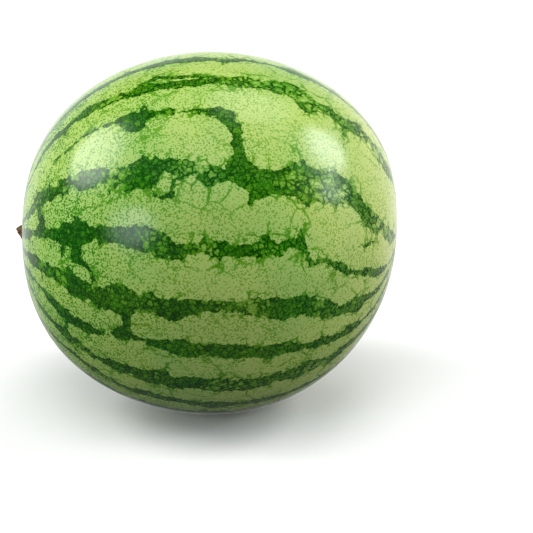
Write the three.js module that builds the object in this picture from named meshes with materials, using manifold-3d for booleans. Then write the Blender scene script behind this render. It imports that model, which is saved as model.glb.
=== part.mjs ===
// A whole ripe watermelon lying on its side, with the dried stump of its stem still on it.
// Millimetres, +Z up. The fruit's long axis runs along X, from the stem end at -X to the blossom end at +X.
// The origin is the middle of the small flat spot that the fruit rests on.

import * as THREE from "three";
import { mergeVertices } from "three/addons/utils/BufferGeometryUtils.js";
import Module from "manifold-3d";

// The fruit's main sizes
const GIRTH_RADIUS = 120.4; // at the thickest place
const STEM_HALF = 124.6; // from the thickest place to the stem end, along the axis
const BLOSSOM_HALF = 123.3; // from the thickest place to the blossom end, along the axis
const AXIAL_POWER = 1.91; // powers of the superellipse that a cut along the axis shows
const RADIAL_POWER = 2.45;

// How the blossom end departs from a true body of revolution
const BLOSSOM_LIFT = 9; // the blossom end stands this much above the axis
const BLOSSOM_TAPER = 0.053; // share of the radius lost towards that end

// Shallow furrows from end to end, between low broad ribs
const RIB_COUNT = 10;
const RIB_HEIGHT = 0.3; // above and below the mean surface, at the thickest place
const RIB_SWAY = 0.12; // radians that a rib wanders along the fruit

// The ends: a basin round the stem, with a pocket for its root, and a dimple with a scar opposite
const BASIN_RADIUS = 24;
const BASIN_DEPTH = 3;
const POCKET_RADIUS = 7.2;
const POCKET_DEPTH = 2;
const DIMPLE_RADIUS = 17;
const DIMPLE_DEPTH = 1.4;
const SCAR_RADIUS = 4.5;
const SCAR_HEIGHT = 0.7;

// The flat spot underneath
const FLAT_DEPTH = 1.3; // cut off the lowest point
const AXIS_HEIGHT = GIRTH_RADIUS - FLAT_DEPTH; // of the fruit's axis above the surface

// The stem stump
const ROOT_GAP = 0.3; // clearance between the stump's root and its pocket
const STUMP_LENGTH = 8.8; // from the pocket's floor to the highest splinter
const STUMP_TIP_RADIUS = 3.6;
const STUMP_TAPER_POWER = 2; // the stump narrows slowly at first, then faster
const STUMP_SLANT = 0.34; // share of the length lost from one side of the broken end to the other
const STUMP_RIDGES = 7;
const STUMP_RIDGE_DEPTH = 0.09; // share of the radius
const SPLINTER_HEIGHT = 0.5;

// Fineness of the surfaces
const FRUIT_SIDES = 72;
const FRUIT_RINGS = 36;
const END_RINGS = 6;
const STUMP_SIDES = 35;
const STUMP_RINGS = 7;

const wasm = await Module();
wasm.setup();

// A closed geometry as a solid that can be cut.
function solidOf(geometry) {
  const bare = geometry.clone();
  bare.deleteAttribute("normal");
  bare.deleteAttribute("uv");
  const merged = mergeVertices(bare, 1e-3);
  return new wasm.Manifold(
    new wasm.Mesh({
      numProp: 3,
      vertProperties: new Float32Array(merged.attributes.position.array),
      triVerts: new Uint32Array(merged.index.array),
    }),
  );
}

// A solid as a geometry to draw.
function geometryOf(solid) {
  const mesh = solid.getMesh();
  const geometry = new THREE.BufferGeometry();
  geometry.setAttribute("position", new THREE.BufferAttribute(mesh.vertProperties, 3));
  geometry.setIndex(new THREE.BufferAttribute(mesh.triVerts, 1));
  geometry.computeVertexNormals();
  return geometry;
}

// Calls move(point) on every vertex of a geometry, which changes the point in place.
function reshape(geometry, move) {
  const positions = geometry.attributes.position;
  const point = new THREE.Vector3();
  for (let i = 0; i < positions.count; i++) {
    point.fromBufferAttribute(positions, i);
    move(point);
    positions.setXYZ(i, point.x, point.y, point.z);
  }
  return geometry;
}

// 1 at the middle of a round hollow or rise, falling smoothly to 0 at its rim.
function bowl(radius, rim) {
  return radius < rim ? 0.5 + 0.5 * Math.cos((Math.PI * radius) / rim) : 0;
}

// Distance along the axis from the thickest place to the surface, at this radius.
function reach(half, radius) {
  return half * Math.pow(1 - Math.pow(radius / GIRTH_RADIUS, RADIAL_POWER), 1 / AXIAL_POWER);
}

function stemReach(radius) {
  return reach(STEM_HALF, radius) - BASIN_DEPTH * bowl(radius, BASIN_RADIUS);
}

function blossomReach(radius) {
  const scar = SCAR_HEIGHT * bowl(radius, SCAR_RADIUS);
  return reach(BLOSSOM_HALF, radius) - DIMPLE_DEPTH * bowl(radius, DIMPLE_RADIUS) + scar;
}

// Radii from near the axis out to the thickest place: close together at the ends, then even in angle.
function ringRadii(first) {
  const rim = BASIN_RADIUS;
  const radii = [];
  for (let i = 0; i < END_RINGS; i++) radii.push(first + ((rim - first) * i) / END_RINGS);
  const rings = FRUIT_RINGS / 2;
  const start = Math.asin(Math.pow(rim / GIRTH_RADIUS, RADIAL_POWER / 2));
  for (let i = 0; i < rings; i++) {
    const angle = start + ((Math.PI / 2 - start) * i) / rings;
    radii.push(GIRTH_RADIUS * Math.pow(Math.sin(angle), 2 / RADIAL_POWER));
  }
  return radii;
}

// Half of a cut along the axis, from the pocket's floor at the stem end to the scar at the other.
function fruitProfile() {
  const floor = -(stemReach(POCKET_RADIUS) - POCKET_DEPTH);
  const stemRings = ringRadii(POCKET_RADIUS).map((r) => new THREE.Vector2(r, -stemReach(r)));
  const girth = new THREE.Vector2(GIRTH_RADIUS, 0);
  const blossomRings = ringRadii(SCAR_RADIUS / 3).map((r) => new THREE.Vector2(r, blossomReach(r)));
  return [
    new THREE.Vector2(0, floor),
    new THREE.Vector2(POCKET_RADIUS, floor),
    ...stemRings,
    girth,
    ...blossomRings.reverse(),
    new THREE.Vector2(0, blossomReach(0)),
  ];
}

// Low ribs round the fruit, and the blossom end drawn in and lifted.
function shapeFruit(point) {
  const along = point.x / (point.x < 0 ? STEM_HALF : BLOSSOM_HALF);
  const around = Math.atan2(point.z, point.y);
  const wave = Math.cos(RIB_COUNT * (around + RIB_SWAY * Math.sin(2 * around + along)));
  const towardsBlossom = Math.pow(Math.max(along, 0), 3);
  const swell = 1 + (RIB_HEIGHT / GIRTH_RADIUS) * wave * (1 - along * along);
  const share = swell * (1 - BLOSSOM_TAPER * towardsBlossom);
  point.y *= share;
  point.z = point.z * share + BLOSSOM_LIFT * towardsBlossom;
}

function makeFruit() {
  const round = new THREE.LatheGeometry(fruitProfile(), FRUIT_SIDES);
  round.rotateZ(-Math.PI / 2);
  reshape(round, shapeFruit);
  const below = new THREE.BoxGeometry(4 * STEM_HALF, 4 * GIRTH_RADIUS, GIRTH_RADIUS);
  below.translate(0, 0, -AXIS_HEIGHT - GIRTH_RADIUS / 2);
  const rind = new THREE.MeshStandardMaterial({ color: 0x8fb860, roughness: 0.35, metalness: 0 });
  const fruit = new THREE.Mesh(geometryOf(solidOf(round).subtract(solidOf(below))), rind);
  fruit.name = "fruit";
  return fruit;
}

// The stump's outline before it is ridged and broken, from the root's middle out and up to its end.
function stumpProfile() {
  const rootRadius = POCKET_RADIUS - ROOT_GAP;
  const points = [new THREE.Vector2(0, 0)];
  for (let i = 0; i <= STUMP_RINGS; i++) {
    const share = i / STUMP_RINGS;
    const radius = THREE.MathUtils.lerp(rootRadius, STUMP_TIP_RADIUS, Math.pow(share, STUMP_TAPER_POWER));
    points.push(new THREE.Vector2(radius, share * STUMP_LENGTH));
  }
  points.push(new THREE.Vector2(STUMP_TIP_RADIUS / 2, STUMP_LENGTH - SPLINTER_HEIGHT));
  points.push(new THREE.Vector2(0, STUMP_LENGTH - SPLINTER_HEIGHT));
  return points;
}

// Dried ridges down the stump, and a slanting broken end with splinters.
function shapeStump(point) {
  const around = Math.atan2(point.z, point.x);
  const share = point.y / STUMP_LENGTH;
  const ridge = 1 - STUMP_RIDGE_DEPTH * share * (1 - Math.cos(STUMP_RIDGES * around));
  const splinter = SPLINTER_HEIGHT * Math.sin(3 * around + 1) * Math.pow(share, 4);
  const slant = STUMP_SLANT * (0.5 - 0.5 * Math.sin(around));
  const clearOfAxis = Math.min(1, Math.hypot(point.x, point.z) / STUMP_TIP_RADIUS);
  point.x *= ridge;
  point.z *= ridge;
  point.y *= 1 - slant * share * share;
  point.y += splinter * clearOfAxis;
}

function makeStump() {
  const stump = new THREE.LatheGeometry(stumpProfile(), STUMP_SIDES);
  reshape(stump, shapeStump);
  const dry = new THREE.MeshStandardMaterial({ color: 0x6b4a26, roughness: 0.9, metalness: 0 });
  const mesh = new THREE.Mesh(stump, dry);
  mesh.name = "stem_stump";
  mesh.rotation.z = Math.PI / 2;
  mesh.position.x = -(stemReach(POCKET_RADIUS) - POCKET_DEPTH + ROOT_GAP);
  return mesh;
}

const watermelon = new THREE.Group();
watermelon.name = "watermelon";
watermelon.position.z = AXIS_HEIGHT;
watermelon.add(makeFruit(), makeStump());

export default watermelon;
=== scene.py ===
"""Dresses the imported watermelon: a striped, waxy rind, a dried stem stump and a white studio."""

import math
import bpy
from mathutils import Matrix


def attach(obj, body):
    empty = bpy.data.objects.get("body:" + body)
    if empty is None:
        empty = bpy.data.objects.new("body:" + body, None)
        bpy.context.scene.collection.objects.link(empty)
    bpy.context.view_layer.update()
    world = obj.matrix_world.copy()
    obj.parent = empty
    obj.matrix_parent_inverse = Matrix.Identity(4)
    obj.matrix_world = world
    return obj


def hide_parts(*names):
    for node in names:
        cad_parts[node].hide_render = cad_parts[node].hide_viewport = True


bl_info = {
    "name": "Watermelon",
    "version": (1, 0, 0),
    "blender": (4, 5, 0),
    "location": "View3D > Sidebar > Watermelon",
    "description": "Grows the rind and the dried stem of a watermelon on its packed frame, in a studio",
    "category": "Object",
}

import bpy
import numpy as np
from bpy.props import FloatProperty, FloatVectorProperty, IntProperty, PointerProperty
from mathutils import Vector

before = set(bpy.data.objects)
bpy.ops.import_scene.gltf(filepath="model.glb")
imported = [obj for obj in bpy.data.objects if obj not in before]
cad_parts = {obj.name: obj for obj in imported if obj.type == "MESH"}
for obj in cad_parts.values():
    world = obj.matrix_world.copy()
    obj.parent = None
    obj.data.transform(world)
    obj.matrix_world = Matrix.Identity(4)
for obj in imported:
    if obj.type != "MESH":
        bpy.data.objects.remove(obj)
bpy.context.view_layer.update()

MM = 0.001
PHOTO_SIDE = 533

# The axis runs from the stem end at -X to the blossom end at +X. Round the fruit, an angle of 0 faces
# the camera, 90 is the top, 180 the back and -90 the flat spot. Along it, places are millimetres of rind
# from the thickest girth, negative towards the stem.
#
# A stripe is a row of (place in mm, angle in degrees, half its width in degrees), read off the
# photograph. Where the fruit is hidden, the rows carry on in the same manner.
STRIPES = (
    # Along the top
    ((-140, 76, 1.5), (-122, 82, 1.8), (-110, 84, 1.8), (-90, 86.5, 1.8), (-70, 87.5, 1.6), (-50, 88.5, 1.5),
     (-30, 89.5, 2), (-10, 89, 2.5), (8, 88, 2.2), (25, 91, 1.8), (45, 92, 1.8), (60, 92.5, 2), (80, 92.5, 2),
     (100, 92, 2), (115, 91, 1.8), (140, 88, 2)),
    # Below the top one, parting into two strands near the girth
    ((-140, 62, 1.6), (-130, 65, 1.8), (-120, 68.2, 2), (-110, 69.8, 2.2), (-100, 70.1, 2.5), (-90, 70.8, 2),
     (-80, 71.7, 2.8), (-70, 71.7, 2.3), (-60, 72, 2.8), (-50, 72, 2.6), (-42, 72.6, 2.4), (-35, 71.7, 1.5),
     (-20, 71.5, 1.5), (0, 71.2, 1.6), (10, 73, 2.4), (20, 73.2, 3), (35, 73.2, 2.6), (47, 74, 3),
     (55, 75, 3.6), (62, 73, 4), (67, 70, 4.5), (75, 71.7, 3), (85, 70.4, 2.8), (91, 68.5, 4),
     (100, 69.5, 4), (106, 71, 4.2), (115, 69.5, 4), (122, 68.5, 5), (132, 67, 5.5), (145, 64, 5)),
    # The thick one above the middle
    ((-150, 32, 3), (-140, 32.5, 3.4), (-136, 33.2, 3.6), (-130, 35.8, 4), (-115, 37, 3.4), (-105, 37.3, 3),
     (-100, 38, 3.5), (-90, 38.9, 3.5), (-80, 39, 3), (-70, 38.6, 3.3), (-62, 37.5, 3.5), (-55, 37.6, 3.2),
     (-45, 37, 4.5), (-37, 37.6, 5.3), (-30, 39.5, 3.8), (-22, 38.9, 3.2), (-17, 38, 3.7), (-7, 37, 3.7),
     (0, 36.4, 4.3), (10, 36.4, 3.7), (22, 38, 4), (29, 34, 5), (37, 35.4, 3.4), (45, 35.4, 3.4),
     (52, 36.7, 5), (60, 37, 6), (70, 34.2, 6.3), (77, 33.5, 6.5), (85, 33.9, 6.5), (92, 32.3, 5),
     (100, 30.4, 4), (107, 28.5, 4), (115, 24.8, 3.4), (122, 20.4, 4), (130, 15.8, 5), (137, 13.6, 5),
     (145, 8.3, 6), (155, 2, 5)),
    # The thick one at the middle, which thins and drops to the right
    ((-142, 18.7, 4.5), (-130, 19.5, 4), (-120, 19.4, 3.6), (-110, 19.5, 3.4), (-100, 18.9, 3.6),
     (-92, 18.5, 4), (-87, 19.5, 4.5), (-80, 20.1, 4), (-70, 18.9, 3.1), (-60, 18.2, 2.5), (-50, 17.6, 2.8),
     (-40, 17, 3.7), (-30, 15.8, 3.7), (-20, 14.5, 3.1), (-10, 14.5, 2.6), (0, 14.2, 3.3), (7, 15, 3),
     (15, 14, 1.6), (22, 13.6, 1.6), (30, 13.6, 2.2), (37, 14.2, 3.4), (45, 13.4, 2.5), (52, 15.2, 1.2),
     (60, 16.7, 1), (64, 11.4, 1), (67, 7.6, 1.5), (77, 8.2, 1), (84, 5.7, 1), (91, 2.6, 1.2), (97, 0, 1.2),
     (105, -2, 1.5), (115, -5, 2.5), (125, -10, 2), (145, -16, 3)),
    # The first one below the middle
    ((-140, 2.6, 3.6), (-130, 2, 4.2), (-120, 1.1, 3.5), (-110, 1, 4), (-100, 0.9, 4.2), (-90, -1.4, 4.2),
     (-80, -2.2, 4.2), (-70, -2.8, 4), (-60, -3, 4.6), (-52, -3.8, 5.2), (-45, -3.4, 4), (-35, -3, 4),
     (-25, -4, 3.4), (0, -3, 2.5), (20, -3, 2), (40, -5, 2.4), (60, -8, 3.4), (80, -12, 2.6),
     (100, -17, 3.2), (130, -24, 3)),
    # The thin one below it
    ((-132, -11, 1.4), (-122, -12.4, 2), (-115, -13.6, 2.4), (-107, -15.2, 2.4), (-100, -17, 2.6),
     (-92, -18.3, 2.4), (-85, -18.5, 2.2), (-77, -19, 2), (-70, -18.6, 1.8), (-60, -17, 2.2),
     (-54, -15.5, 2.5), (-35, -17, 1.6), (-10, -18, 2.4), (20, -19, 2), (50, -22, 2.6), (80, -27, 2),
     (120, -36, 2)),
    # Three more towards the flat spot
    ((-140, -24.2, 2.2), (-130, -27.7, 2.1), (-120, -28.3, 2), (-110, -29, 2), (-100, -30.2, 2.3),
     (-90, -31.1, 2.6), (-80, -32.4, 3.1), (-70, -32.4, 2.5), (-60, -32.4, 2.5), (-52, -31.8, 3),
     (-25, -33, 3.4), (5, -34, 4), (35, -36, 3.2), (70, -39, 4.2), (100, -44, 3), (130, -50, 2.6)),
    ((-135, -44, 1.2), (-115, -43, 1.3), (-105, -42, 1.5), (-95, -41.1, 1.5), (-85, -42.7, 2),
     (-75, -44.2, 2), (-65, -45.5, 2.3), (-55, -46.7, 2.3), (-42, -46, 2.2), (-15, -47, 2), (15, -49, 2.6),
     (50, -52, 2), (90, -58, 2.4), (125, -65, 2)),
    ((-135, -60, 2), (-105, -58, 2.2), (-80, -57, 2), (-60, -58, 2.5), (-47, -58.6, 2.5), (-20, -60, 3.2),
     (10, -61, 3.8), (45, -64, 3.2), (80, -69, 3.6), (120, -78, 2.6)),
)

# Short strands that stop inside the pale bands or join two stripes, in the same terms.
STRANDS = (
    # The upper strand of the parted stripe
    ((-44, 74.5, 1.4), (-37, 76.7, 1.1), (-30, 77.3, 1.3), (-24, 76, 1.2), (-17, 75.1, 1.2), (-7, 75.4, 1.3),
     (0, 74.8, 1.2), (8, 73.6, 1.4)),
    # The broken stripe between the parted one and the thick one
    ((-107, 54, 0.2), (-95, 55.5, 0.3), (-87, 58, 0.3), (-69, 59, 0.6), (-58, 59.5, 2), (-45, 58, 4),
     (-35, 59, 2), (-30, 59.5, 1.1), (-15, 58.5, 1), (-3, 58.5, 1.3), (6, 58.5, 2.7), (14, 54.5, 1.9),
     (18, 50.8, 1.8), (19, 47, 1.6), (20.6, 43.2, 1.6), (21, 39.5, 1.6)),
    ((-45, 60, 1), (-41, 63, 0.5)),
    ((-50, 56, 1), (-52, 53, 0.4)),
    ((8, 88, 1), (9, 83.5, 0.3)),
    ((-100, 69, 1.2), (-101, 65, 0.3)),
    ((91, 67, 1.2), (93, 60, 0.5), (92, 54, 0.2)),
    # Spurs and links of the thick stripe above the middle
    ((-62, 36, 1.2), (-62.5, 31.4, 0.4)),
    ((29, 33, 2), (28, 25.7, 0.7)),
    ((62, 40, 2), (61, 45, 0.5)),
    ((85, 38, 2), (86, 43, 0.5)),
    ((-20, 35, 1.2), (-21, 31, 0.7), (-26, 29.3, 0.4), (-33, 30.5, 0.5), (-36, 34, 1)),
    ((128, 11.5, 0.8), (117, 9.6, 0.7), (105, 10, 0.4)),
    ((-130, 44.5, 0.9), (-126, 39.5, 1.6), (-125, 35, 2.6), (-124, 29, 3), (-122, 24, 3), (-117, 21, 2.6)),
    # Spurs and links of the stripe at the middle
    ((60, 16.5, 1), (61, 21, 0.4)),
    ((-88, 17, 2), (-87, 9.5, 1.8), (-82, 8, 0.9), (-78, 6.5, 0.8), (-74, 2, 0.8)),
    ((-98, 16, 1.2), (-100, 10, 0.8), (-101, 3, 0.9)),
    # Links below the middle
    ((-51, -6, 1.6), (-52, -15, 1)),
    ((-122, -1, 0.5), (-122, -10.5, 0.4)),
    ((-99, -19, 0.8), (-99, -29, 0.8)),
    ((-92, -32, 1), (-92, -40, 0.9)),
)

# Where a stripe breaks up into cells and lets the pale ground through: (place, angle, radius in mm).
OPEN_PATCHES = (
    (-95, 38.5, 12), (-60, 38, 13), (-5, 37.5, 15), (58, 37, 13), (74, 34, 16), (92, 33, 12), (128, 17, 12),
    (-62, 72, 14), (30, 73.5, 30), (62, 72, 16), (86, 70, 14), (118, 68.5, 20), (-35, 16.5, 10),
    (2, 14.5, 9), (37, 14, 8),
    (-85, -30, 12), (-70, -46, 14), (10, -34, 20), (70, -40, 18),
)


def linear(red, green, blue):
    """A screen colour of 0 to 255 in the linear values that shaders take."""
    shares = (red / 255, green / 255, blue / 255)
    return tuple(c / 12.92 if c <= 0.04045 else ((c + 0.055) / 1.055) ** 2.4 for c in shares)


def length(name, millimetres, description):
    """A length property that is written in millimetres and kept in metres."""
    return FloatProperty(
        name=name, description=description, default=millimetres * MM,
        subtype="DISTANCE", unit="LENGTH", precision=5,
    )


def tint(name, screen_colour, description):
    """A colour property that is written as a screen colour and kept linear."""
    return FloatVectorProperty(
        name=name, description=description, default=linear(*screen_colour),
        size=3, min=0, max=1, subtype="COLOR",
    )


class FruitShape(bpy.types.PropertyGroup):
    """The melon's form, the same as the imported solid's but for its gentle unevenness."""

    girth_radius: length("Girth radius", 120.4, "Radius at the thickest place")
    stem_half: length("Stem half", 124.6, "From the thickest place to the stem end")
    blossom_half: length("Blossom half", 123.3, "From the thickest place to the blossom end")
    axial_power: FloatProperty(name="Axial power", description="Bluntness along the axis", default=1.91)
    radial_power: FloatProperty(name="Radial power", description="Bluntness across the axis", default=2.45)
    blossom_lift: length("Blossom lift", 9, "How far the blossom end sits above the axis")
    blossom_taper: FloatProperty(
        name="Blossom taper", description="Narrowing at the blossom end", default=0.053
    )
    rib_count: IntProperty(name="Ribs", description="Broad low ribs round the fruit", default=10)
    rib_height: length("Rib height", 0.3, "Height of the ribs at the girth")
    rib_sway: FloatProperty(name="Rib sway", description="How unevenly the ribs stand", default=0.12)
    basin_radius: length("Basin radius", 24, "Radius of the hollow round the stem")
    basin_depth: length("Basin depth", 3, "Depth of the hollow round the stem")
    pocket_radius: length("Pocket radius", 7.2, "Radius of the pocket that the stem stands in")
    pocket_depth: length("Pocket depth", 2, "Depth of that pocket")
    dimple_radius: length("Dimple radius", 17, "Radius of the dimple at the blossom end")
    dimple_depth: length("Dimple depth", 1.4, "Depth of the dimple at the blossom end")
    scar_radius: length("Scar radius", 4.5, "Radius of the blossom scar")
    scar_height: length("Scar height", 0.7, "Height of the blossom scar")
    flat_depth: length("Flat depth", 1.3, "How much the flat spot takes off the underside")
    swell: length("Swell", 0.5, "Gentle unevenness of the rind")
    facets: IntProperty(name="Facets", description="Faces along each of the twelve seams", default=120, min=8)


class RindColours(bpy.types.PropertyGroup):
    """The rind's greens, from the pale bands to the darkest cell walls."""

    pale: tint("Pale", (157, 185, 99), "Ground of the pale bands")
    fleck: tint("Fleck", (112, 158, 58), "Fine flecks in the pale bands")
    vein: tint("Vein", (80, 138, 20), "Veins and the hearts of the cells in a stripe")
    stripe: tint("Stripe", (44, 110, 4), "Body of the stripes")
    wall: tint("Wall", (12, 62, 0), "Cell walls in the stripes")
    field: tint("Field spot", (222, 208, 140), "Creamy place on which the fruit lay")
    cork: tint("Cork", (150, 122, 78), "Dry skin round the stem and on the blossom scar")


class StemShape(bpy.types.PropertyGroup):
    """The dried stump of the stem."""

    root_gap: length("Root gap", 0.3, "Clearance in the pocket")
    stump_length: length("Length", 8.8, "Length along the axis, on its longer side")
    tip_radius: length("Tip radius", 3.6, "Radius at the broken end")
    taper_power: FloatProperty(name="Taper power", description="How late the stump narrows", default=2)
    slant: FloatProperty(name="Slant", description="How much shorter the underside is", default=0.34)
    ridges: IntProperty(name="Ridges", description="Dried ridges round the stump", default=7)
    ridge_depth: FloatProperty(
        name="Ridge depth", description="Depth of the furrows, of the radius", default=0.16
    )
    bark: tint("Bark", (112, 74, 38), "Dried skin of the stem")
    fibre: tint("Fibre", (168, 128, 80), "Broken fibres at its end")
    # The furrow colour is painted shade: it darkens the stump's furrows and fine cracks, where shade falls.
    shade: tint("Furrow", (28, 20, 14), "Dirt in the furrows")


class Studio(bpy.types.PropertyGroup):
    """White table, lights and camera."""

    elevation: FloatProperty(
        name="Elevation", description="How far the camera looks down",
        default=math.radians(20), subtype="ANGLE",
    )
    distance: length("Distance", 1500, "From the camera to the fruit's middle")
    span: length("Span", 355.2, "Width of the picture at the fruit's middle")
    middle_across: FloatProperty(
        name="Across", description="Photo column of the fruit's middle", default=211.05
    )
    middle_down: FloatProperty(name="Down", description="Photo row of the fruit's middle", default=232.85)
    table: tint("Table", (240, 240, 240), "The white table")
    bounce: tint("Bounce", (132, 132, 132), "What the table throws back on the fruit")
    fade_from: length("Fade from", 700, "Where the table starts to turn pure white")
    fade_to: length("Fade to", 1900, "Where the table is pure white")
    sky: FloatProperty(name="Sky", description="Strength of the white surroundings", default=0.03)


class Watermelon(bpy.types.PropertyGroup):
    """All that can be changed."""

    fruit: PointerProperty(type=FruitShape)
    rind: PointerProperty(type=RindColours)
    stem: PointerProperty(type=StemShape)
    studio: PointerProperty(type=Studio)


# Shape of the fruit


def bowl(radius, rim):
    """1 at the middle of a round hollow, falling smoothly to 0 at its rim."""
    return np.where(radius < rim, 0.5 + 0.5 * np.cos(np.pi * np.minimum(radius, rim) / rim), 0.0)


def meridian(shape, half):
    """Distance from the pole, place along the axis and radius, from one pole to the girth."""
    angle = np.linspace(0, 1, 4001) ** 2 * np.pi / 2
    radius = shape.girth_radius * np.sin(angle) ** (2 / shape.radial_power)
    along = half * np.abs(np.cos(angle)) ** (2 / shape.axial_power)
    walked = np.concatenate([[0], np.cumsum(np.hypot(np.diff(radius), np.diff(along)))])
    return walked, along, radius


POLE_GATHER = 0.55  # how much closer together the points lie at the two ends


def rind_places(shape, directions):
    """Each direction from the middle as a place on the rind, with the axis point and radius there."""
    from_stem = np.arccos(np.clip(-directions[:, 0], -1, 1)) / (np.pi / 2)
    around = np.arctan2(directions[:, 2], directions[:, 1])
    stem_side = from_stem < 1
    share = np.where(stem_side, from_stem, 2 - from_stem)
    share = share * (1 - POLE_GATHER * (1 - share) ** 2)
    place = np.empty(len(share))
    along = np.empty(len(share))
    radius = np.empty(len(share))
    for side, half, sign in ((stem_side, shape.stem_half, -1), (~stem_side, shape.blossom_half, 1)):
        walked, axis, width = meridian(shape, half)
        steps = share[side] * walked[-1]
        place[side] = sign * (walked[-1] - steps)
        along[side] = sign * np.interp(steps, walked, axis)
        radius[side] = np.interp(steps, walked, width)
    return place, around, along, radius


def fruit_points(shape, around, along, radius):
    """The rind's points, with its hollows, ribs and the lifted, narrower blossom end."""
    stem_side = along < 0
    hollow = shape.basin_depth * bowl(radius, shape.basin_radius)
    dimple = shape.dimple_depth * bowl(radius, shape.dimple_radius)
    scar = shape.scar_height * bowl(radius, shape.scar_radius)
    pocket = shape.pocket_depth * np.clip((shape.pocket_radius - radius) / MM, 0, 1)
    x = np.where(stem_side, along + hollow + pocket, along - dimple + scar)
    share = x / np.where(stem_side, shape.stem_half, shape.blossom_half)
    wave = np.cos(shape.rib_count * (around + shape.rib_sway * np.sin(2 * around + share)))
    towards_blossom = np.maximum(share, 0) ** 3
    wide = 1 + shape.rib_height / shape.girth_radius * wave * (1 - share**2)
    wide *= 1 - shape.blossom_taper * towards_blossom
    y = radius * np.cos(around) * wide
    z = radius * np.sin(around) * wide + shape.blossom_lift * towards_blossom
    return np.stack([x, y, z + shape.girth_radius - shape.flat_depth], axis=1)


# Stripes

# The stripes that the camera can't see, in degrees round the fruit
HIDDEN_FROM = -74
HIDDEN_TO = -250
HIDDEN_STEP = 15.5
THICK_STRIPE = 3.6  # half the width
THIN_STRIPE = 1.9
# Where the stripes end, in millimetres of rind, and half their width there in degrees
STEM_STOP = -187
BLOSSOM_STOP = 184
END_WIDTH = 3.5


def to_the_ends(row):
    """A stripe's row, carried on to both ends of the fruit."""
    first, last = row[0], row[-1]
    head = (STEM_STOP, first[1] - 2, END_WIDTH)
    tail = (BLOSSOM_STOP, last[1] - 2, END_WIDTH)
    return (head, *row, tail)


def hidden_stripes():
    """Stripes for the back and the underside, drawn by chance in the manner of the visible ones."""
    chance = np.random.default_rng(12)
    rows = []
    links = []
    count = round((HIDDEN_FROM - HIDDEN_TO) / HIDDEN_STEP)
    for number in range(count):
        middle = HIDDEN_FROM - (number + 0.5) * (HIDDEN_FROM - HIDDEN_TO) / count
        thick = THICK_STRIPE if number % 2 else THIN_STRIPE
        sway, phase = chance.uniform(1.5, 3.5), chance.uniform(0, 2 * np.pi)
        row = []
        for place in range(-150, 151, 12):
            angle = middle + sway * math.sin(place / 55 + phase) + chance.normal(0, 0.9)
            row.append((place, angle, thick * chance.uniform(0.55, 1.4)))
        rows.append(tuple(row))
        for _ in range(2):
            place = chance.uniform(-125, 125)
            drop = chance.uniform(8, 15)
            half_way = (place + 4, middle - drop / 2, 0.9)
            tip = (place + 2, middle - drop, 0.5)
            links.append(((place, middle, 1.6), half_way, tip))
    return rows, links


def pigment_depth(place, angle, radius):
    """How deep each point lies in its stripe, negative outside, and half the stripe's width, in mm."""
    rows, links = hidden_stripes()
    lines = [to_the_ends(row) for row in (*STRIPES, *rows)] + list(STRANDS) + links
    per_degree = np.radians(1) * radius
    depth = np.full(len(place), -1e3)
    half_width = np.zeros(len(place))
    for line in lines:
        for (s0, a0, w0), (s1, a1, w1) in zip(line, line[1:]):
            turn = (angle - a0 + 180) % 360 - 180
            dx, dy = place - s0, turn * per_degree
            ex, ey = s1 - s0, (a1 - a0) * per_degree
            t = np.clip((dx * ex + dy * ey) / (ex * ex + ey * ey + 1e-9), 0, 1)
            away = np.hypot(dx - t * ex, dy - t * ey)
            here = (w0 + t * (w1 - w0)) * per_degree
            deeper = here - away > depth
            depth[deeper] = (here - away)[deeper]
            half_width[deeper] = here[deeper]
    return depth, half_width


def openness(place, angle, radius):
    """1 where a stripe breaks up into cells, 0 where it is solid."""
    share = np.zeros(len(place))
    for patch_place, patch_angle, patch_radius in OPEN_PATCHES:
        turn = (angle - patch_angle + 180) % 360 - 180
        away = np.hypot(place - patch_place, turn * np.radians(1) * radius)
        share = np.maximum(share, np.clip(1.3 - away / patch_radius, 0, 1))
    return share


# Meshes


def deselect_all():
    """Leave nothing selected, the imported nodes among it."""
    if bpy.context.object and bpy.context.object.mode != "OBJECT":
        bpy.ops.object.mode_set(mode="OBJECT")
    bpy.ops.object.select_all(action="DESELECT")


def read_points(mesh):
    """The mesh's points as an array."""
    points = np.empty(len(mesh.vertices) * 3)
    mesh.vertices.foreach_get("co", points)
    return points.reshape(-1, 3)


def write_points(mesh, points):
    """Put the points back into the mesh."""
    mesh.vertices.foreach_set("co", np.ascontiguousarray(points).ravel())
    mesh.update()


def select_points(mesh, chosen):
    """In object mode, select just the chosen points for the next edit."""
    mesh.vertices.foreach_set("select", chosen)
    mesh.edges.foreach_set("select", np.zeros(len(mesh.edges), bool))
    mesh.polygons.foreach_set("select", np.zeros(len(mesh.polygons), bool))


def apply_modifiers(piece):
    """Apply the piece's modifiers in order."""
    bpy.context.view_layer.objects.active = piece
    for modifier in list(piece.modifiers):
        bpy.ops.object.modifier_apply(modifier=modifier.name)


def point_values(mesh, name, values):
    """Keep a value for each point for the material to read."""
    layer = mesh.attributes.new(name, "FLOAT", "POINT")
    layer.data.foreach_set("value", values.astype(np.float32))


BAKE_MAP = "OFBake"
BAKE_INSET = 0.004


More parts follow.
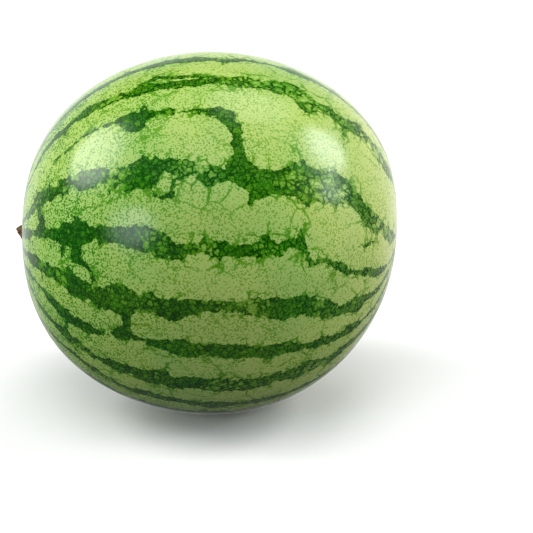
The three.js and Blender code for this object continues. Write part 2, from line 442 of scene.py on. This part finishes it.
def lay_out_bake_map(mesh):
    """While the mesh is still a cube, lay its six sides out as a grid of three by two."""
    points = read_points(mesh)
    loops = np.empty(len(mesh.loops), int)
    mesh.loops.foreach_get("vertex_index", loops)
    normals = np.empty(len(mesh.polygons) * 3)
    mesh.polygons.foreach_get("normal", normals)
    corners = np.empty(len(mesh.polygons), int)
    mesh.polygons.foreach_get("loop_total", corners)
    normals = np.repeat(normals.reshape(-1, 3), corners, axis=0)
    axis = np.argmax(np.abs(normals), axis=1)
    positive = normals[np.arange(len(axis)), axis] > 0
    here = points[loops]
    across = here[np.arange(len(axis)), (axis + 1) % 3]
    up = here[np.arange(len(axis)), (axis + 2) % 3]
    inside = 0.5 - BAKE_INSET
    u = (axis + 0.5 + across * inside * np.where(positive, 1, -1)) / 3
    v = (positive + 0.5 + up * inside) / 2
    layer = mesh.uv_layers.get(BAKE_MAP) or mesh.uv_layers.new(name=BAKE_MAP)
    layer.data.foreach_set("uv", np.stack([u, v], axis=1).ravel())


# Materials


class Bench:
    """A node tree with short ways to add nodes and wire them."""

    def __init__(self, tree):
        self.tree = tree

    def node(self, kind, **settings):
        made = self.tree.nodes.new(kind)
        for name, value in settings.items():
            setattr(made, name, value)
        return made

    def feed(self, socket, value):
        if isinstance(value, bpy.types.NodeSocket):
            self.tree.links.new(value, socket)
        else:
            socket.default_value = value

    def math(self, operation, *values, clamp=False):
        made = self.node("ShaderNodeMath", operation=operation, use_clamp=clamp)
        for socket, value in zip(made.inputs, values):
            self.feed(socket, value)
        return made.outputs[0]

    def vector(self, operation, first, second=None, scale=None):
        made = self.node("ShaderNodeVectorMath", operation=operation)
        self.feed(made.inputs[0], first)
        if second is not None:
            self.feed(made.inputs[1], second)
        if scale is not None:
            self.feed(made.inputs["Scale"], scale)
        return made.outputs["Value" if operation in ("DISTANCE", "LENGTH") else "Vector"]

    def step(self, value, low, high, start=0.0, end=1.0):
        made = self.node("ShaderNodeMapRange", interpolation_type="SMOOTHSTEP")
        given = {"Value": value, "From Min": low, "From Max": high, "To Min": start, "To Max": end}
        for name, amount in given.items():
            self.feed(made.inputs[name], amount)
        return made.outputs["Result"]

    def mix(self, share, first, second):
        made = self.node("ShaderNodeMix", data_type="RGBA")
        for place, value in ((0, share), (6, first), (7, second)):
            self.feed(made.inputs[place], value)
        return made.outputs[2]

    def noise(self, position, scale, detail=2.0, roughness=0.5):
        made = self.node("ShaderNodeTexNoise")
        given = {"Vector": position, "Scale": scale, "Detail": detail, "Roughness": roughness}
        for name, value in given.items():
            self.feed(made.inputs[name], value)
        return made.outputs

    def voronoi(self, position, scale, feature):
        made = self.node("ShaderNodeTexVoronoi", feature=feature)
        self.feed(made.inputs["Vector"], position)
        self.feed(made.inputs["Scale"], scale)
        return made.outputs

    def ramp(self, value, stops):
        made = self.node("ShaderNodeValToRGB")
        elements = made.color_ramp.elements
        while len(elements) < len(stops):
            elements.new(0.5)
        for element, (place, colour) in zip(elements, stops):
            element.position = place
            element.color = colour
        self.feed(made.inputs["Fac"], value)
        return made.outputs["Color"]

    def group(self, tree, **values):
        made = self.node("ShaderNodeGroup", node_tree=tree)
        for name, value in values.items():
            self.feed(made.inputs[name], value)
        return made.outputs


def opaque(colour):
    """A colour with full alpha, as node sockets take it."""
    return (*colour, 1.0)


def new_group(name, inputs, outputs):
    """An empty node group with its named sockets."""
    tree = bpy.data.node_groups.new(name, "ShaderNodeTree")
    for socket, kind in inputs:
        tree.interface.new_socket(socket, in_out="INPUT", socket_type=kind)
    for socket, kind in outputs:
        tree.interface.new_socket(socket, in_out="OUTPUT", socket_type=kind)
    bench = Bench(tree)
    given = bench.node("NodeGroupInput").outputs
    result = bench.node("NodeGroupOutput").inputs
    return tree, bench, given, result


def grown_cells():
    """Plant cells of one size: distance from heart and wall, and a chance value for each cell."""
    if "Grown cells" in bpy.data.node_groups:
        return bpy.data.node_groups["Grown cells"]
    tree, bench, given, result = new_group(
        "Grown cells",
        (("Position", "NodeSocketVector"), ("Size", "NodeSocketFloat"), ("Waver", "NodeSocketFloat")),
        (("Heart", "NodeSocketFloat"), ("Wall", "NodeSocketFloat"), ("Chance", "NodeSocketFloat")),
    )
    finer = bench.math("DIVIDE", 1.0, given["Size"])
    drift = bench.noise(given["Position"], bench.math("MULTIPLY", finer, 1.7), detail=2.0)["Color"]
    drift = bench.vector("SUBTRACT", drift, (0.5, 0.5, 0.5))
    drift = bench.vector("SCALE", drift, scale=bench.math("MULTIPLY", given["Waver"], 2.0))
    moved = bench.vector("ADD", given["Position"], drift)
    nearest = bench.voronoi(moved, finer, "F1")
    wall = bench.voronoi(moved, finer, "DISTANCE_TO_EDGE")["Distance"]
    bench.feed(result["Heart"], bench.math("MULTIPLY", nearest["Distance"], given["Size"]))
    bench.feed(result["Wall"], bench.math("MULTIPLY", wall, given["Size"]))
    chance = bench.node("ShaderNodeSeparateColor")
    bench.feed(chance.inputs["Color"], nearest["Color"])
    bench.feed(result["Chance"], chance.outputs["Red"])
    return tree


def mottle():
    """Soft patches of a given size, sharpened between two levels."""
    if "Mottle" in bpy.data.node_groups:
        return bpy.data.node_groups["Mottle"]
    tree, bench, given, result = new_group(
        "Mottle",
        (("Position", "NodeSocketVector"), ("Size", "NodeSocketFloat"), ("Low", "NodeSocketFloat"),
         ("High", "NodeSocketFloat")),
        (("Mask", "NodeSocketFloat"),),
    )
    patches = bench.noise(given["Position"], bench.math("DIVIDE", 1.0, given["Size"]), detail=3.0)["Fac"]
    bench.feed(result["Mask"], bench.step(patches, given["Low"], given["High"]))
    return tree


def new_material(name):
    """A material with its bench, shader and position in millimetres."""
    material = bpy.data.materials.new(name)
    material.use_nodes = True
    bench = Bench(material.node_tree)
    shader = material.node_tree.nodes["Principled BSDF"]
    place = bench.node("ShaderNodeTexCoord").outputs["Object"]
    return material, bench, shader, bench.vector("SCALE", place, scale=1 / MM)


# The rind's cells: size and how much their walls waver, in millimetres.
CELL_SIZES = {"lobe": (19.0, 3.0), "lobelet": (8.0, 1.8), "bubble": (3.9, 1.2), "grain": (2.1, 0.6)}
# How strongly each kind of cell shapes a stripe's edge, and how far from a heart the edge stays put, in mm.
EDGE_BITES = {"lobe": (0.5, 10.0), "lobelet": (0.6, 4.2), "bubble": (0.45, 2.1)}
RUFFLE = 3.0  # millimetres by which fine noise moves a stripe's edge
OPENING_BITE = 0.3  # millimetres that an opened stripe draws in
DEEPEST = 6.0  # millimetres up to which depth inside a stripe counts


def rind_cells(bench, position):
    """Cells of four sizes, on a position that is shaken a little so that no wall runs smooth."""
    shake = bench.vector("SUBTRACT", bench.noise(position, 0.4, detail=1.0)["Color"], (0.5, 0.5, 0.5))
    shaken = bench.vector("ADD", position, bench.vector("SCALE", shake, scale=2.2))
    tree = grown_cells()
    return {
        name: bench.group(tree, Position=shaken, Size=size, Waver=waver)
        for name, (size, waver) in CELL_SIZES.items()
    }


def cell_bite(bench, cells, name):
    """How far one kind of cell moves a stripe's edge: out along the walls, in at the hearts."""
    strength, usual = EDGE_BITES[name]
    return bench.math("MULTIPLY_ADD", cells[name]["Heart"], strength, -strength * usual)


def stripe_edge(bench, position, cells, opened):
    """How far inside a stripe a point lies, in mm, once cells have eaten into the stripe's edge."""
    depth = bench.node("ShaderNodeAttribute", attribute_name="pigment_depth").outputs["Fac"]
    half_width = bench.node("ShaderNodeAttribute", attribute_name="stripe_half_width").outputs["Fac"]
    bite = bench.step(half_width, 0.0, 8.0, 0.25, 1.0)
    lobes = bench.math("ADD", cell_bite(bench, cells, "lobe"), cell_bite(bench, cells, "lobelet"))
    edge = bench.math("MULTIPLY_ADD", lobes, bite, bench.math("MINIMUM", depth, DEEPEST))
    edge = bench.math("ADD", edge, cell_bite(bench, cells, "bubble"))
    ruffle = bench.noise(position, 0.5, detail=2.0)["Fac"]
    edge = bench.math("ADD", edge, bench.math("MULTIPLY_ADD", ruffle, RUFFLE, -0.5 * RUFFLE))
    return bench.math("MULTIPLY_ADD", opened, -OPENING_BITE, edge)


FLECKS_PER_MM = 0.82
VEIN_PATCH = 21.0  # size in millimetres of the patches in which veins show
TWIG_PATCH = 12.0  # the same for the finer veins near the stripes


def vein_line(bench, position, wall, patch, width):
    """Thin lines along cell walls, broken where the patches are low."""
    along = bench.group(mottle(), Position=position, Size=patch, Low=0.42, High=0.58)["Mask"]
    reach = bench.math("SUBTRACT", bench.math("MULTIPLY", bench.math("ADD", width, 1.0), along), 1.0)
    return bench.step(bench.math("SUBTRACT", reach, wall), -0.35, 0.25)


def stem_share(bench, position):
    """1 at the stem end, where the pigment is strongest, falling to 0 at the girth."""
    along_axis = bench.node("ShaderNodeSeparateXYZ")
    bench.feed(along_axis.inputs[0], position)
    return bench.step(along_axis.outputs["X"], -110.0, 10.0, 1.0, 0.0)


def band_pigment(bench, position, cells, edge, strong, stemward):
    """Pigment of the pale bands: short flecks, and veins that run out of the stripes."""
    near = bench.step(edge, -16.0, 0.0)
    close = bench.step(edge, -8.0, 0.0)
    specks = bench.noise(position, FLECKS_PER_MM, detail=1.0)["Fac"]
    vein_width = bench.math("MULTIPLY_ADD", near, 0.6, 0.1)
    veins = vein_line(bench, position, cells["lobe"]["Wall"], VEIN_PATCH, vein_width)
    twig_width = bench.math("MULTIPLY_ADD", close, 1.0, -0.25)
    twigs = vein_line(bench, position, cells["lobelet"]["Wall"], TWIG_PATCH, twig_width)
    veins = bench.math("MAXIMUM", veins, twigs)
    veins = bench.math("MULTIPLY", veins, bench.step(specks, 0.3, 0.5, 0.4, 1.0))
    halo = bench.step(cells["lobe"]["Wall"], 0.0, 2.5, 0.05, 0.0)
    sparse = bench.math("MULTIPLY_ADD", strong, -0.04, 0.585)
    sparse = bench.math("SUBTRACT", sparse, halo)
    flecks = bench.step(bench.math("SUBTRACT", specks, sparse), -0.03, 0.05)
    tone = bench.math("MULTIPLY_ADD", stemward, 0.32, bench.math("MULTIPLY_ADD", close, 0.06, 0.26))
    tone = bench.math("MULTIPLY_ADD", strong, 0.08, tone)
    flecks = bench.math("MULTIPLY_ADD", flecks, tone, bench.math("MULTIPLY", stemward, 0.1))
    veins = bench.math("MULTIPLY", veins, bench.math("MULTIPLY_ADD", close, 0.16, 0.44))
    return bench.math("MAXIMUM", flecks, veins)


# Cells with light hearts: kind, where the heart starts and is full in mm from the wall, and the pigment
# that it lacks in a whole stripe and, more, in an opened one.
LIGHT_HEARTS = (("bubble", 0.25, 1.1, 0.18, 0.28), ("lobelet", 0.6, 2.2, 0.08, 0.48))
THIN_WALL_PIGMENT = 0.24
THICK_WALL_PIGMENT = 0.36


def stripe_pigment(bench, position, cells, opened, strong, stemward):
    """Pigment of the stripes: cells with dark walls, some with light hearts where a stripe opens up."""
    outline = bench.group(mottle(), Position=position, Size=6.0, Low=0.3, High=0.55)["Mask"]
    thin_wall = bench.step(cells["grain"]["Wall"], 0.04, 0.38, 1.0, 0.0)
    thick_wall = bench.math("MULTIPLY", bench.step(cells["bubble"]["Wall"], 0.08, 0.55, 1.0, 0.0), outline)
    pigment = bench.math("MULTIPLY_ADD", stemward, 0.12, bench.math("MULTIPLY_ADD", strong, 0.1, 0.57))
    rare = bench.math("MULTIPLY_ADD", opened, -0.55, 0.6)
    hearts = []
    for name, clear, rim, plain, wide in LIGHT_HEARTS:
        heart = bench.step(bench.math("SUBTRACT", cells[name]["Chance"], rare), 0.0, 0.35)
        heart = bench.math("MULTIPLY", heart, bench.step(cells[name]["Wall"], clear, rim))
        hearts.append(bench.math("MULTIPLY", heart, bench.math("MULTIPLY_ADD", opened, wide, plain)))
    pigment = bench.math("SUBTRACT", pigment, bench.math("MAXIMUM", *hearts))
    pigment = bench.math("MULTIPLY_ADD", thin_wall, THIN_WALL_PIGMENT, pigment)
    return bench.math("MULTIPLY_ADD", thick_wall, THICK_WALL_PIGMENT, pigment)


FIELD_PLACE = (12, 48, 14)  # middle of the field spot, in millimetres
FIELD_RAGGED = 60.0  # millimetres over which its edge wanders


def cork_mask(bench, position, shape, cells):
    """Dry skin in a ring round the stem, in cracks that run out of it, and on the blossom scar."""
    middle = (shape.girth_radius - shape.flat_depth) / MM
    ragged = bench.math("MULTIPLY_ADD", bench.noise(position, 0.4, detail=2.0)["Fac"], 6.0, -3.0)
    stem_end = (-shape.stem_half / MM, 0, middle)
    from_stem = bench.math("ADD", bench.vector("DISTANCE", position, stem_end), ragged)
    blossom_end = (shape.blossom_half / MM, 0, middle + shape.blossom_lift / MM)
    from_blossom = bench.math("ADD", bench.vector("DISTANCE", position, blossom_end), ragged)
    ring = bench.step(from_stem, 8.5, 11.5, 1.0, 0.0)
    cracks = bench.step(cells["bubble"]["Wall"], 0.1, 0.45, 1.0, 0.0)
    cracks = bench.math("MULTIPLY", cracks, bench.step(from_stem, 10.0, 22.0, 0.8, 0.0))
    scar = bench.step(from_blossom, 2.0, 6.5, 1.0, 0.0)
    return bench.math("MAXIMUM", bench.math("MAXIMUM", ring, cracks), scar)


def field_mask(bench, position, pigment):
    """The bleached place on which the fruit lay, and the yellower blossom end. The stripes stay green."""
    away = bench.vector("DISTANCE", position, FIELD_PLACE)
    wander = bench.noise(position, 0.03)["Fac"]
    wander = bench.math("MULTIPLY_ADD", wander, FIELD_RAGGED, -0.5 * FIELD_RAGGED)
    away = bench.math("ADD", away, wander)
    along_axis = bench.node("ShaderNodeSeparateXYZ")
    bench.feed(along_axis.inputs[0], position)
    # Yellower towards the blossom end, all round the fruit.
    yellower_end = bench.step(along_axis.outputs["X"], 50.0, 125.0, 0.0, 0.3)
    bare = bench.math("MAXIMUM", bench.step(away, 30.0, 75.0, 0.85, 0.0), yellower_end)
    return bench.math("MULTIPLY", bare, bench.math("MULTIPLY_ADD", pigment, -1.0, 1.0, clamp=True))


def rind_material(colours, shape):
    """Waxy green rind: pale bands with flecks and veins, dark stripes made of walled cells."""
    material, bench, shader, position = new_material("rind")
    opened = bench.node("ShaderNodeAttribute", attribute_name="openness").outputs["Fac"]
    loose = bench.group(mottle(), Position=position, Size=36.0, Low=0.52, High=0.68)["Mask"]
    opened = bench.math("MAXIMUM", opened, bench.math("MULTIPLY", loose, 0.7))
    strong = bench.group(mottle(), Position=position, Size=30.0, Low=0.35, High=0.65)["Mask"]
    cells = rind_cells(bench, position)
    edge = stripe_edge(bench, position, cells, opened)
    stemward = stem_share(bench, position)

    pigment = bench.node("ShaderNodeMix", data_type="FLOAT")
    bench.feed(pigment.inputs[0], bench.step(edge, -0.3, 0.4))
    bench.feed(pigment.inputs[2], band_pigment(bench, position, cells, edge, strong, stemward))
    bench.feed(pigment.inputs[3], stripe_pigment(bench, position, cells, opened, strong, stemward))
    greens = (
        (0.0, colours.pale), (0.25, colours.fleck), (0.5, colours.vein), (0.72, colours.stripe),
        (1.0, colours.wall),
    )
    colour = bench.ramp(pigment.outputs[0], [(place, opaque(green)) for place, green in greens])
    drift = bench.group(mottle(), Position=position, Size=70.0, Low=0.3, High=0.7)["Mask"]
    warmer = bench.node("ShaderNodeHueSaturation")
    bench.feed(warmer.inputs["Hue"], bench.step(drift, 0.0, 1.0, 0.508, 0.488))
    bench.feed(warmer.inputs["Value"], bench.step(drift, 0.0, 1.0, 0.96, 1.06))
    bench.feed(warmer.inputs["Color"], colour)
    bleached = field_mask(bench, position, pigment.outputs[0])
    colour = bench.mix(bleached, warmer.outputs["Color"], opaque(colours.field))
    cork = cork_mask(bench, position, shape, cells)
    bench.feed(shader.inputs["Base Color"], bench.mix(cork, colour, opaque(colours.cork)))

    smear = bench.group(mottle(), Position=position, Size=22.0, Low=0.3, High=0.7)["Mask"]
    waxy = bench.step(smear, 0.0, 1.0, 0.18, 0.26)
    bench.feed(shader.inputs["Roughness"], bench.math("MULTIPLY_ADD", cork, 0.5, waxy))
    grain = bench.noise(position, 0.8, detail=2.0)["Fac"]
    bump = bench.node("ShaderNodeBump")
    bench.feed(bump.inputs["Strength"], 0.35)
    bench.feed(bump.inputs["Distance"], 0.05 * MM)
    bench.feed(bump.inputs["Height"], grain)
    bench.feed(shader.inputs["Normal"], bump.outputs["Normal"])
    shader.inputs["Specular IOR Level"].default_value = 0.4
    return material


def stem_material(stem):
    """Dry brown stem, furrowed along its length, with paler torn fibres at the end and painted shade in its
    furrows and fine cracks.
    """
    material, bench, shader, position = new_material("dried_stem")
    fibres = bench.node("ShaderNodeMapping")
    bench.feed(fibres.inputs["Vector"], position)
    fibres.inputs["Scale"].default_value = (0.25, 1.0, 1.0)
    along = fibres.outputs["Vector"]
    streaks = bench.group(mottle(), Position=along, Size=0.9, Low=0.35, High=0.65)["Mask"]
    crack_walls = bench.group(grown_cells(), Position=along, Size=1.6, Waver=0.5)["Wall"]
    torn = bench.node("ShaderNodeAttribute", attribute_name="torn").outputs["Fac"]
    furrow = bench.node("ShaderNodeAttribute", attribute_name="furrow").outputs["Fac"]
    skin = bench.mix(streaks, opaque(stem.bark), opaque(tuple(c * 0.45 for c in stem.bark)))
    skin = bench.mix(bench.math("MULTIPLY", torn, 0.8), skin, opaque(stem.fibre))
    # Painted shade: the fine cracks between the cells and the furrows are darkened with the furrow colour, as
    # shade in these recesses.
    cracks = bench.math("MAXIMUM", bench.step(crack_walls, 0.02, 0.18, 1.0, 0.0), furrow)
    bench.feed(shader.inputs["Base Color"], bench.mix(cracks, skin, opaque(stem.shade)))
    bench.feed(shader.inputs["Roughness"], bench.step(streaks, 0.0, 1.0, 0.7, 0.92))
    bump = bench.node("ShaderNodeBump")
    bench.feed(bump.inputs["Strength"], 0.7)
    bench.feed(bump.inputs["Distance"], 0.25 * MM)
    bench.feed(bump.inputs["Height"], bench.math("SUBTRACT", streaks, cracks))
    bench.feed(shader.inputs["Normal"], bump.outputs["Normal"])
    return material


def table_material(studio):
    """Matt white table, which the camera sees paler than it lights the fruit, and pure white far away."""
    material, bench, shader, position = new_material("table_white")
    grain = bench.group(mottle(), Position=position, Size=60.0, Low=0.2, High=0.8)["Mask"]
    seen = bench.mix(grain, opaque(studio.table), opaque(tuple(c * 0.985 for c in studio.table)))
    from_camera = bench.node("ShaderNodeLightPath").outputs["Is Camera Ray"]
    bench.feed(shader.inputs["Base Color"], bench.mix(from_camera, opaque(studio.bounce), seen))
    far = bench.step(bench.vector("LENGTH", position), studio.fade_from / MM, studio.fade_to / MM)
    bench.feed(shader.inputs["Emission Strength"], bench.math("MULTIPLY", far, from_camera))
    shader.inputs["Emission Color"].default_value = (1, 1, 1, 1)
    shader.inputs["Roughness"].default_value = 0.6
    shader.inputs["Specular IOR Level"].default_value = 0.1
    return material


# Operators


SWELL_SPAN = 55 * MM  # from one rise of the uneven rind to the next


class WATERMELON_OT_fruit(bpy.types.Operator):
    """Grow the fruit with its striped rind"""

    bl_idname = "watermelon.fruit"
    bl_label = "Grow fruit"

    def execute(self, context):
        shape = context.scene.watermelon.fruit
        deselect_all()
        bpy.ops.mesh.primitive_cube_add(size=2)
        fruit = context.object
        fruit.name = fruit.data.name = "striped_fruit"
        bpy.ops.object.mode_set(mode="EDIT")
        bpy.ops.mesh.subdivide(number_cuts=shape.facets - 1)
        bpy.ops.object.mode_set(mode="OBJECT")
        mesh = fruit.data
        lay_out_bake_map(mesh)

        even = np.tan(read_points(mesh) * np.pi / 4)
        directions = even / np.linalg.norm(even, axis=1, keepdims=True)
        place, around, along, radius = rind_places(shape, directions)
        write_points(mesh, fruit_points(shape, around, along, radius))
        angle = (180 - np.degrees(around) + 180) % 360 - 180
        depth, half_width = pigment_depth(place / MM, angle, radius / MM)
        point_values(mesh, "pigment_depth", depth)
        point_values(mesh, "stripe_half_width", half_width)
        point_values(mesh, "openness", openness(place / MM, angle, radius / MM))

        clouds = bpy.data.textures.new("rind swell", "CLOUDS")
        clouds.noise_scale = SWELL_SPAN
        swell = fruit.modifiers.new("swell", "DISPLACE")
        swell.texture = clouds
        swell.strength = shape.swell
        swell.mid_level = 0.5
        apply_modifiers(fruit)

        bpy.ops.object.mode_set(mode="EDIT")
        bpy.ops.mesh.select_all(action="SELECT")
        bpy.ops.mesh.bisect(plane_co=(0, 0, 0), plane_no=(0, 0, 1))
        bpy.ops.mesh.select_all(action="DESELECT")
        bpy.ops.object.mode_set(mode="OBJECT")
        select_points(mesh, read_points(mesh)[:, 2] < 0)
        bpy.ops.object.mode_set(mode="EDIT")
        bpy.ops.transform.resize(value=(1, 1, 0), center_override=(0, 0, 0))
        bpy.ops.object.mode_set(mode="OBJECT")
        bpy.ops.object.shade_smooth()

        mesh.materials.append(rind_material(context.scene.watermelon.rind, shape))
        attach(fruit, "root")
        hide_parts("fruit")
        return {"FINISHED"}


STUMP_SIDES = 84
STUMP_RINGS = 14
SPLINTER_ROUGHNESS = 0.35 * MM
SPLINTER_HEIGHT = 0.5 * MM
PITH_DEPTH = 0.8 * MM  # hollow in the middle of the broken end


class WATERMELON_OT_stem(bpy.types.Operator):
    """Stand the dried stump of the stem in its pocket"""

    bl_idname = "watermelon.stem"
    bl_label = "Dry stem"

    def execute(self, context):
        shape = context.scene.watermelon.fruit
        stem = context.scene.watermelon.stem
        root_radius = shape.pocket_radius - stem.root_gap
        deselect_all()
        bpy.ops.mesh.primitive_circle_add(vertices=STUMP_SIDES, radius=root_radius, fill_type="NGON")
        stump = context.object
        stump.name = stump.data.name = "dried_stump"
        bpy.ops.object.mode_set(mode="EDIT")
        bpy.ops.mesh.select_all(action="SELECT")
        before = root_radius
        for ring in range(1, STUMP_RINGS + 1):
            share = ring / STUMP_RINGS
            radius = root_radius + (stem.tip_radius - root_radius) * share**stem.taper_power
            lift = (0, 0, stem.stump_length / STUMP_RINGS)
            bpy.ops.mesh.extrude_region_move(TRANSFORM_OT_translate={"value": lift})
            bpy.ops.transform.resize(value=(radius / before, radius / before, 1))
            before = radius
        for _ in range(4):
            bpy.ops.mesh.inset(thickness=stem.tip_radius * 0.2)
        bpy.ops.mesh.select_all(action="SELECT")
        bpy.ops.mesh.normals_make_consistent(inside=False)
        bpy.ops.object.mode_set(mode="OBJECT")
        mesh = stump.data

        points = read_points(mesh)
        chance = np.random.default_rng(5)
        around = np.arctan2(points[:, 1], points[:, 0])
        share = points[:, 2] / stem.stump_length
        from_axis = np.hypot(points[:, 0], points[:, 1])
        wave = 0.5 - 0.5 * np.cos(stem.ridges * around + 0.8 * np.sin(2 * around))
        fine = 0.5 - 0.5 * np.cos(3 * stem.ridges * around + 1.5)
        furrow = np.clip(wave * 0.8 + fine * 0.3, 0, 1) * share
        points[:, :2] *= (1 - stem.ridge_depth * furrow)[:, None]
        end = share > 0.999
        splinter = chance.normal(0, SPLINTER_ROUGHNESS, len(points))
        splinter += SPLINTER_HEIGHT * np.sin(5 * around) * (from_axis / stem.tip_radius)
        pith = PITH_DEPTH * bowl(from_axis, stem.tip_radius * 0.7)
        points[:, 2] += np.where(end, splinter - pith, 0)
        points[:, 2] *= 1 - stem.slant * share * (0.5 - 0.5 * np.sin(around))
        floor = self.pocket_floor(shape)
        turned = np.stack([-(floor + stem.root_gap + points[:, 2]), -points[:, 0], points[:, 1]], axis=1)
        turned[:, 2] += shape.girth_radius - shape.flat_depth
        write_points(mesh, turned)
        point_values(mesh, "torn", np.where(end, 1.0, np.clip(share * 2 - 1.4, 0, 1)))
        # This furrow value also masks the painted shade in the furrows.
        point_values(mesh, "furrow", np.clip(furrow * 1.2 - 0.35, 0, 1))

        smoother = stump.modifiers.new("smoother", "SUBSURF")
        smoother.levels = smoother.render_levels = 1
        apply_modifiers(stump)
        bpy.ops.object.mode_set(mode="EDIT")
        bpy.ops.mesh.select_all(action="SELECT")
        bpy.ops.mesh.normals_make_consistent(inside=False)
        bpy.ops.object.mode_set(mode="OBJECT")
        bpy.ops.object.shade_smooth()
        mesh.materials.append(stem_material(stem))
        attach(stump, "root")
        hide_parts("stem_stump")
        return {"FINISHED"}

    @staticmethod
    def pocket_floor(shape):
        """Distance along the axis from the girth to the floor of the stem's pocket."""
        share = 1 - (shape.pocket_radius / shape.girth_radius) ** shape.radial_power
        rim = shape.stem_half * share ** (1 / shape.axial_power)
        rim -= shape.basin_depth * float(bowl(shape.pocket_radius, shape.basin_radius))
        return rim - shape.pocket_depth


# Each light: name, direction to it from the fruit as seen by the camera (right, up, towards the camera),
# distance and width in metres, power in watts, colour, and whether the rind mirrors it.
LIGHTS = (
    ("left_softbox", (-0.77, 0.6, 0.12), 3.0, 1.7, 53, (1, 1, 1), True),
    ("right_softbox", (0.73, 0.62, 0.06), 3.0, 1.2, 36, (1, 1, 1), True),
    ("top_softbox", (0.26, 0.96, 0.04), 3.0, 1.6, 14, (1, 1, 1), True),
    ("left_window", (-0.64, 0.03, 0.77), 2.5, 1.0, 14, (0.88, 0.95, 1), True),
    ("right_window", (0.89, 0.36, 0.27), 3.0, 0.9, 11, (0.92, 0.97, 1), True),
    ("soft_ceiling", (0, 0.95, 0.2), 3.0, 4.0, 18, (1, 1, 1), False),
    ("front_fill", (-0.1, 0.68, 0.73), 3.0, 2.5, 48, (1, 1, 1), False),
    ("left_wall", (-0.97, 0.08, -0.05), 3.0, 2.5, 76, (1, 1, 1), False),
    ("right_wall", (0.95, 0.15, 0.1), 3.0, 2.5, 60, (1, 1, 1), False),
)
HORIZON_GLOW = 1.1  # strength of the glow at the horizon behind the fruit
GLOW_TOP = 0.55  # height, as a share of straight up, at which that glow ends
UNDER_GLOW = 0.1  # strength of the light from below
TABLE_SIDE = 5.2  # metres


class WATERMELON_OT_studio(bpy.types.Operator):
    """Set up the table, the lights and the camera"""

    bl_idname = "watermelon.studio"
    bl_label = "Set up studio"

    def execute(self, context):
        scene = context.scene
        studio = scene.watermelon.studio
        shape = scene.watermelon.fruit
        middle = Vector((0, 0, shape.girth_radius - shape.flat_depth))
        right = Vector((1, 0, 0))
        ahead = Vector((0, math.cos(studio.elevation), -math.sin(studio.elevation)))
        up = right.cross(ahead)

        deselect_all()
        bpy.ops.mesh.primitive_plane_add(size=TABLE_SIDE)
        table = context.object
        table.name = table.data.name = "table"
        table.data.materials.append(table_material(studio))
        table.visible_glossy = False

        per_pixel = studio.span / PHOTO_SIDE
        bpy.ops.object.camera_add(rotation=(math.pi / 2 - studio.elevation, 0, 0))
        camera = context.object
        camera.name = "photo_camera"
        camera.location = middle - ahead * studio.distance
        camera.location += right * (PHOTO_SIDE / 2 - studio.middle_across) * per_pixel
        camera.location -= up * (PHOTO_SIDE / 2 - studio.middle_down) * per_pixel
        camera.data.sensor_width = 36
        camera.data.lens = camera.data.sensor_width * studio.distance / studio.span
        camera.data.clip_end = 50
        scene.camera = camera

        for name, (x, y, z), away, side, power, colour, mirrored in LIGHTS:
            direction = (right * x + up * y - ahead * z).normalized()
            bpy.ops.object.light_add(type="AREA", location=middle + direction * away)
            light = context.object
            light.name = name
            light.rotation_euler = direction.to_track_quat("Z", "Y").to_euler()
            light.data.shape = "DISK"
            light.data.size = side
            light.data.energy = power
            light.data.color = colour
            light.visible_camera = False
            light.visible_glossy = mirrored

        scene.world = self.surroundings(studio)
        scene.view_settings.view_transform = "Standard"
        return {"FINISHED"}

    @staticmethod
    def surroundings(studio):
        """White to the camera. The rind mirrors it brightly at its rim and dimly elsewhere."""
        world = bpy.data.worlds.new("white surroundings")
        world.use_nodes = True
        bench = Bench(world.node_tree)
        way = bench.node("ShaderNodeSeparateXYZ")
        bench.feed(way.inputs[0], bench.node("ShaderNodeTexCoord").outputs["Generated"])
        background = world.node_tree.nodes["Background"]
        background.inputs["Color"].default_value = (1, 1, 1, 1)
        glow = bench.step(way.outputs["Z"], 0.0, GLOW_TOP, HORIZON_GLOW, 0.0)
        glow = bench.math("MULTIPLY", glow, bench.step(way.outputs["Y"], 0.2, 0.85))
        glow = bench.math("MULTIPLY", glow, bench.step(way.outputs["Z"], -0.7, -0.2))
        glow = bench.math("ADD", glow, bench.step(way.outputs["Z"], -0.15, 0.0, UNDER_GLOW, 0.0))
        glow = bench.math("ADD", glow, studio.sky)
        seen = bench.node("ShaderNodeLightPath").outputs["Is Camera Ray"]
        bench.feed(background.inputs["Strength"], bench.math("MAXIMUM", glow, seen))
        return world


class WATERMELON_PT_panel(bpy.types.Panel):
    """Lists the steps and what can be changed"""

    bl_idname = "WATERMELON_PT_panel"
    bl_label = "Watermelon"
    bl_space_type = "VIEW_3D"
    bl_region_type = "UI"
    bl_category = "Watermelon"

    def draw(self, context):
        melon = context.scene.watermelon
        for operator, settings in STEPS:
            box = self.layout.box()
            box.operator(operator.bl_idname)
            for group in settings:
                values = getattr(melon, group)
                for name in values.__annotations__:
                    box.prop(values, name)


STEPS = (
    (WATERMELON_OT_fruit, ("fruit", "rind")),
    (WATERMELON_OT_stem, ("stem",)),
    (WATERMELON_OT_studio, ("studio",)),
)

CLASSES = (
    FruitShape, RindColours, StemShape, Studio, Watermelon,
    WATERMELON_OT_fruit, WATERMELON_OT_stem, WATERMELON_OT_studio, WATERMELON_PT_panel,
)


def register():
    for kind in CLASSES:
        bpy.utils.register_class(kind)
    bpy.types.Scene.watermelon = PointerProperty(type=Watermelon)


def unregister():
    del bpy.types.Scene.watermelon
    for kind in reversed(CLASSES):
        bpy.utils.unregister_class(kind)


def main():
    register()
    bpy.ops.watermelon.fruit()
    bpy.ops.watermelon.stem()
    bpy.ops.watermelon.studio()


if __name__ == "__main__":
    main()
